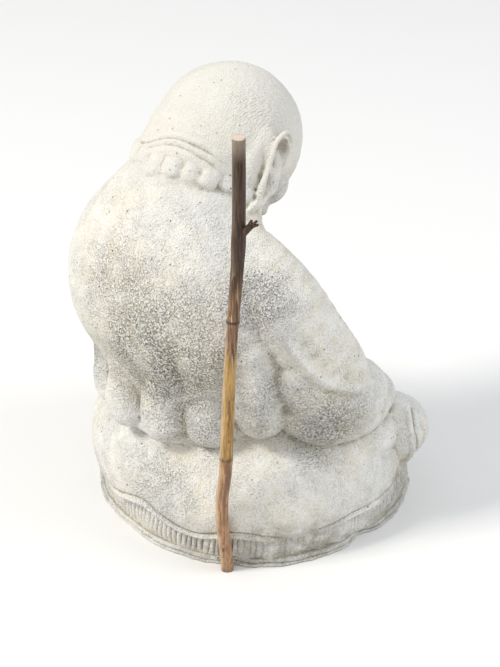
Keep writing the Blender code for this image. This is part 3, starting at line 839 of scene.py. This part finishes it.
def stick_line():
    """The stick's middle from its foot upwards, as the solid has it."""
    outward, sideways, up = stick_frame()
    rows = [outward * STICK_FOOT + (up * share + sideways * wander + outward * bow) * STICK_LENGTH
            for share, wander, bow in STICK_BENDS]
    level = Vector((rows[0].x, rows[0].y, 0))
    return [level] + [Vector(row) for row in smooth_line([tuple(r) for r in rows], 20)]


def stick_radius(height, angle):
    """Tapers a little, waists below the knot, swells at knot and scar, and is ribbed like any bark."""

    def swelling(middle, reach, full):
        return full * math.exp(-(((height - middle) / reach) ** 2))

    taper = (STICK_TOP_DIAMETER - STICK_FOOT_DIAMETER) * height / STICK_LENGTH
    swell = swelling(KNOT_HEIGHT, 0.0024, 0.15) + swelling(KNOT_HEIGHT - 0.017, 0.05, -0.10)
    swell += swelling(SCAR_HEIGHT, 0.006, 0.10) * (0.5 + 0.5 * math.cos(angle - 2.4))
    swell += swelling(STUB_HEIGHT - 0.004, 0.012, 0.12)
    ribs = 0.04 * noise.noise(Vector((math.cos(angle) * 1.8, math.sin(angle) * 1.8, height * 24)))
    return (STICK_FOOT_DIAMETER + taper) / 2 * (1 + swell + ribs - 0.03)


def drawn_tube(path, radius_at, sides=28):
    """A closed tube: a disc drawn out from ring to ring."""
    piece = bmesh.new()
    ring = bmesh.ops.create_circle(piece, cap_ends=True, segments=sides, radius=1)["verts"]
    edges = list(piece.edges)
    for i, spot in enumerate(path):
        if i > 0:
            ring, edges = next_ring(piece, edges)
        tangent = (path[min(i + 1, len(path) - 1)] - path[max(i - 1, 0)]).normalized()
        across = Vector((0, 0, 1)) if abs(tangent.z) < 0.7 else Vector((1, 0, 0))
        across = (across - tangent * tangent.dot(across)).normalized()
        depth = tangent.cross(across)
        for k, v in enumerate(ring):
            turn = 2 * math.pi * k / sides
            v.co = spot + (across * math.cos(turn) + depth * math.sin(turn)) * radius_at(i, spot, turn)
    bmesh.ops.contextual_create(piece, geom=edges)
    return piece


def build_stick():
    path = stick_line()
    clay = bmesh.new()
    piece = drawn_tube(path, lambda i, spot, turn: stick_radius(spot.z, turn))
    # the foot stands flat, and the sawn top is a little hollow with a rubbed edge
    for v in piece.verts:
        if v.co.z < 0.0005:
            v.co.z = 0
    top = [f for f in piece.faces if len(f.verts) > 4 and f.calc_center_median().z > 0.2]
    bmesh.ops.inset_region(piece, faces=top, thickness=0.0005, depth=0.0003)
    bmesh.ops.inset_region(piece, faces=top, thickness=0.0016, depth=-0.0004)
    bmesh.ops.recalc_face_normals(piece, faces=piece.faces[:])
    join(clay, piece)
    # the broken side shoot, with three splinters at its end
    outward, sideways, up = stick_frame()
    root = min(path, key=lambda spot: abs(spot.z - STUB_HEIGHT))
    along = (sideways * 0.62 + up * 0.74 + outward * 0.2).normalized()
    for lean, end, start, thick in SPLINTERS:
        way = (along + (sideways - up) * lean * 0.6).normalized()
        line = [root + (along * start + way * (end - start) * t / 8) * STUB_LENGTH for t in range(9)]

        def shoot_radius(i, spot, turn):
            return thick * (1.25 - 0.05 * i + 0.12 * noise.noise(spot * 900))

        shoot = drawn_tube(line, shoot_radius, 14)
        bmesh.ops.recalc_face_normals(shoot, faces=shoot.faces[:])
        join(clay, shoot)
    stick = made_whole(clay, "branch", ())
    # how far round the stick each point lies, for streaks that keep to one side and the painted highlight on
    # the left flank
    points, line = read(stick.data, "co"), np.array(path)
    middles = [np.interp(points[:, 2], line[:, 2], line[:, k]) for k in (0, 1)]
    round_it = ((points[:, 0] - middles[0]) * sideways.x + (points[:, 1] - middles[1]) * sideways.y) / 0.005
    round_it = round_it.astype(np.float32)
    stick.data.attributes.new("round_it", "FLOAT", "POINT").data.foreach_set("value", round_it)
    stick.data.polygons.foreach_set("use_smooth", [True] * len(stick.data.polygons))
    return stick


# bark and bare wood from the foot upwards, each in a darker and a paler colour
PALE_BARK = ((0.27, 0.135, 0.068), (0.50, 0.30, 0.165))
OCHRE_WOOD = ((0.30, 0.165, 0.045), (0.54, 0.33, 0.11))
RED_BARK = ((0.10, 0.05, 0.028), (0.30, 0.17, 0.095))
DARK_BARK = ((0.034, 0.018, 0.010), (0.10, 0.062, 0.038))
# a painted grey highlight near the top
PAINTED_GREY_HIGHLIGHT = (0.32, 0.255, 0.205)
PEELED = (0.62, 0.45, 0.27)
# the left flank's painted highlight
LIT_FLANK_TONE = (0.74, 0.56, 0.36)
SCARRED = (0.10, 0.055, 0.03)
STREAKED = (0.15, 0.075, 0.045)
SLIT = (0.13, 0.07, 0.03)
KNOT_RING = (0.045, 0.026, 0.018)
FURROW = (0.05, 0.03, 0.02)
SAWN = (0.74, 0.60, 0.49)


def bark_material():
    n = Finish("bark")
    height = n.height()
    wavy = n.calc("SUBTRACT", n.noise(9, 4, 0.7, n.squeezed((2, 2, 0.5))), 0.5)
    ragged = n.calc("ADD", height, n.times(wavy, 50))
    streak = n.noise(2.4, 4, 0.65, n.squeezed((1.3, 1.3, 0.07)))
    fibre = n.noise(0.9, 3, 0.6, n.squeezed((1.3, 1.3, 0.12)))
    colour = n.mix(n.band(ragged, 108, 122), n.mix(n.band(streak, 0.36, 0.64), *PALE_BARK),
                   n.mix(n.band(streak, 0.38, 0.62), *OCHRE_WOOD))
    colour = n.mix(n.band(ragged, 208, 226), colour, n.mix(n.band(streak, 0.4, 0.62), *RED_BARK))
    colour = n.mix(n.band(ragged, 262, 290), colour, n.mix(n.band(streak, 0.36, 0.66), *DARK_BARK))
    # painted grey highlight towards the top
    colour = n.mix(n.band(height, 374, 391, 0.0, 0.7), colour, PAINTED_GREY_HIGHLIGHT)
    # bare wood where the bark has come away, and dark scars
    peel = n.band(n.noise(3.2, 2, 0.5, n.squeezed((1.2, 1.2, 0.09))), 0.57, 0.61)
    peel = n.times(peel, n.band(ragged, 300, 262), n.band(ragged, 195, 215))
    colour = n.mix(n.times(peel, 0.85), colour, PEELED)
    scar = n.band(n.noise(3.4, 2, 0.5, n.squeezed((1, 1, 0.2))), 0.68, 0.71)
    colour = n.mix(n.times(scar, n.band(ragged, 240, 200), 0.85), colour, SCARRED)
    # the left flank painted paler as a highlight, the dark stripe low on the right and the slit in the ochre
    # wood
    flank = n.calc("ADD", n.attribute("round_it"), n.times(n.calc("SUBTRACT", n.noise(11, 2), 0.5), 0.8))
    rubbed = n.times(n.band(flank, -0.2, -0.9), n.band(ragged, 270, 220, 0.08, 0.5))
    colour = n.mix(rubbed, colour, LIT_FLANK_TONE)
    stripe = n.times(n.band(flank, 0.1, 0.35), n.band(flank, 1.0, 0.8), n.band(height, 70, 92))
    colour = n.mix(n.times(stripe, n.band(height, 128, 120), 0.7), colour, STREAKED)
    slit = n.band(n.calc("ABSOLUTE", n.calc("SUBTRACT", flank, 0.3)), 0.2, 0.1)
    slit = n.times(slit, n.band(ragged, 150, 158), n.band(ragged, 186, 176))
    colour = n.mix(n.times(slit, 0.75), colour, SLIT)
    # dark rings at the knot, the scar and the side shoot
    for place, reach, strength in ((KNOT_HEIGHT, 1.7, 0.9), (SCAR_HEIGHT, 2.2, 0.5), (STUB_HEIGHT, 3.0, 0.4)):
        above = n.calc("SUBTRACT", n.calc("ADD", height, n.times(fibre, 2.4)), place * 1000 + 1.2)
        ring = n.band(n.calc("ABSOLUTE", above), reach, reach * 0.3)
        colour = n.mix(n.times(ring, n.band(streak, 0.3, 0.5, 0.4, 1.0), strength), colour, KNOT_RING)
    colour = n.mix(n.band(fibre, 0.5, 0.3, 0.0, 0.4), colour, FURROW)
    # the sawn end shows pale wood
    colour = n.mix(n.band(height, 393.2, 394.4), colour, SAWN)
    n.link(colour, n.shader.inputs["Base Color"])
    n.shader.inputs["Roughness"].default_value = 0.45
    n.shader.inputs["Specular IOR Level"].default_value = 0.3
    furrow = n.relief(n.noise(1.6, 4, 0.6, n.squeezed((1.4, 1.4, 0.12))), 0.8)
    n.link(n.relief(fibre, 0.3, 0.8, furrow), n.shader.inputs["Normal"])
    return n.material


stick = build_stick()
stick.data.materials.append(bark_material())
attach(stick, "root")
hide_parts("leaning_stick")


# Floor, light and camera
# A pale floor under soft daylight from above and the left of the picture, with the camera behind the
# figure's right shoulder and looking down on it.

CAMERA_BEARING = math.radians(230)
CAMERA_TILT = math.radians(29)
CAMERA_DISTANCE = 1.5
CAMERA_TARGET = Vector((0.005, 0.0004, 0.1457))
CAMERA_LENS = 93
FLOOR_HALF = 60
KEY_POWER = 106
FILL_POWER = 16
SKY_STRENGTH = 0.68


def aim(thing, direction):
    thing.rotation_mode = "QUATERNION"
    thing.rotation_quaternion = direction.to_track_quat("-Z", "Y")


def add_light(name, place, target, size, power, colour):
    data = bpy.data.lights.new(name, "AREA")
    data.shape, data.size, data.energy, data.color = "DISK", size, power, colour
    lamp = bpy.data.objects.new(name, data)
    bpy.context.scene.collection.objects.link(lamp)
    lamp.location = place
    aim(lamp, target - place)


floor_mesh = bpy.data.meshes.new("floor")
ground = bmesh.new()
bmesh.ops.create_grid(ground, x_segments=1, y_segments=1, size=FLOOR_HALF)
ground.to_mesh(floor_mesh)
ground.free()
floor = bpy.data.objects.new("floor", floor_mesh)
bpy.context.scene.collection.objects.link(floor)
paper = Finish("pale_floor")
paper.shader.inputs["Base Color"].default_value = (0.86, 0.86, 0.85, 1)
paper.shader.inputs["Roughness"].default_value = 0.9
floor_mesh.materials.append(paper.material)

level = Vector((math.sin(CAMERA_BEARING), -math.cos(CAMERA_BEARING), 0))
backward = level * math.cos(CAMERA_TILT) + Vector((0, 0, math.sin(CAMERA_TILT)))
rightward = (-backward).cross(Vector((0, 0, 1))).normalized()
camera_data = bpy.data.cameras.new("camera")
camera_data.lens = CAMERA_LENS
camera_data.sensor_width = 36
camera = bpy.data.objects.new("camera", camera_data)
bpy.context.scene.collection.objects.link(camera)
camera.location = CAMERA_TARGET + backward * CAMERA_DISTANCE
aim(camera, -backward)
bpy.context.scene.camera = camera

middle = Vector((0, 0, 0.2))
key_place = middle - rightward * 2.5 + Vector((0, 0, 2.2)) + backward * 1.4
fill_place = middle + rightward * 1.7 + Vector((0, 0, 1.5)) + backward * 0.6
add_light("key", key_place, middle, 0.9, KEY_POWER, (1, 0.97, 0.91))
add_light("fill", fill_place, middle, 1.4, FILL_POWER, (0.92, 0.96, 1))
world = bpy.data.worlds.new("studio")
bpy.context.scene.world = world
world.use_nodes = True
world.node_tree.nodes["Background"].inputs[0].default_value = (0.96, 0.97, 1, 1)
world.node_tree.nodes["Background"].inputs[1].default_value = SKY_STRENGTH
bpy.context.scene.view_settings.view_transform = "Standard"

bpy.data.meshes.remove(carrier)
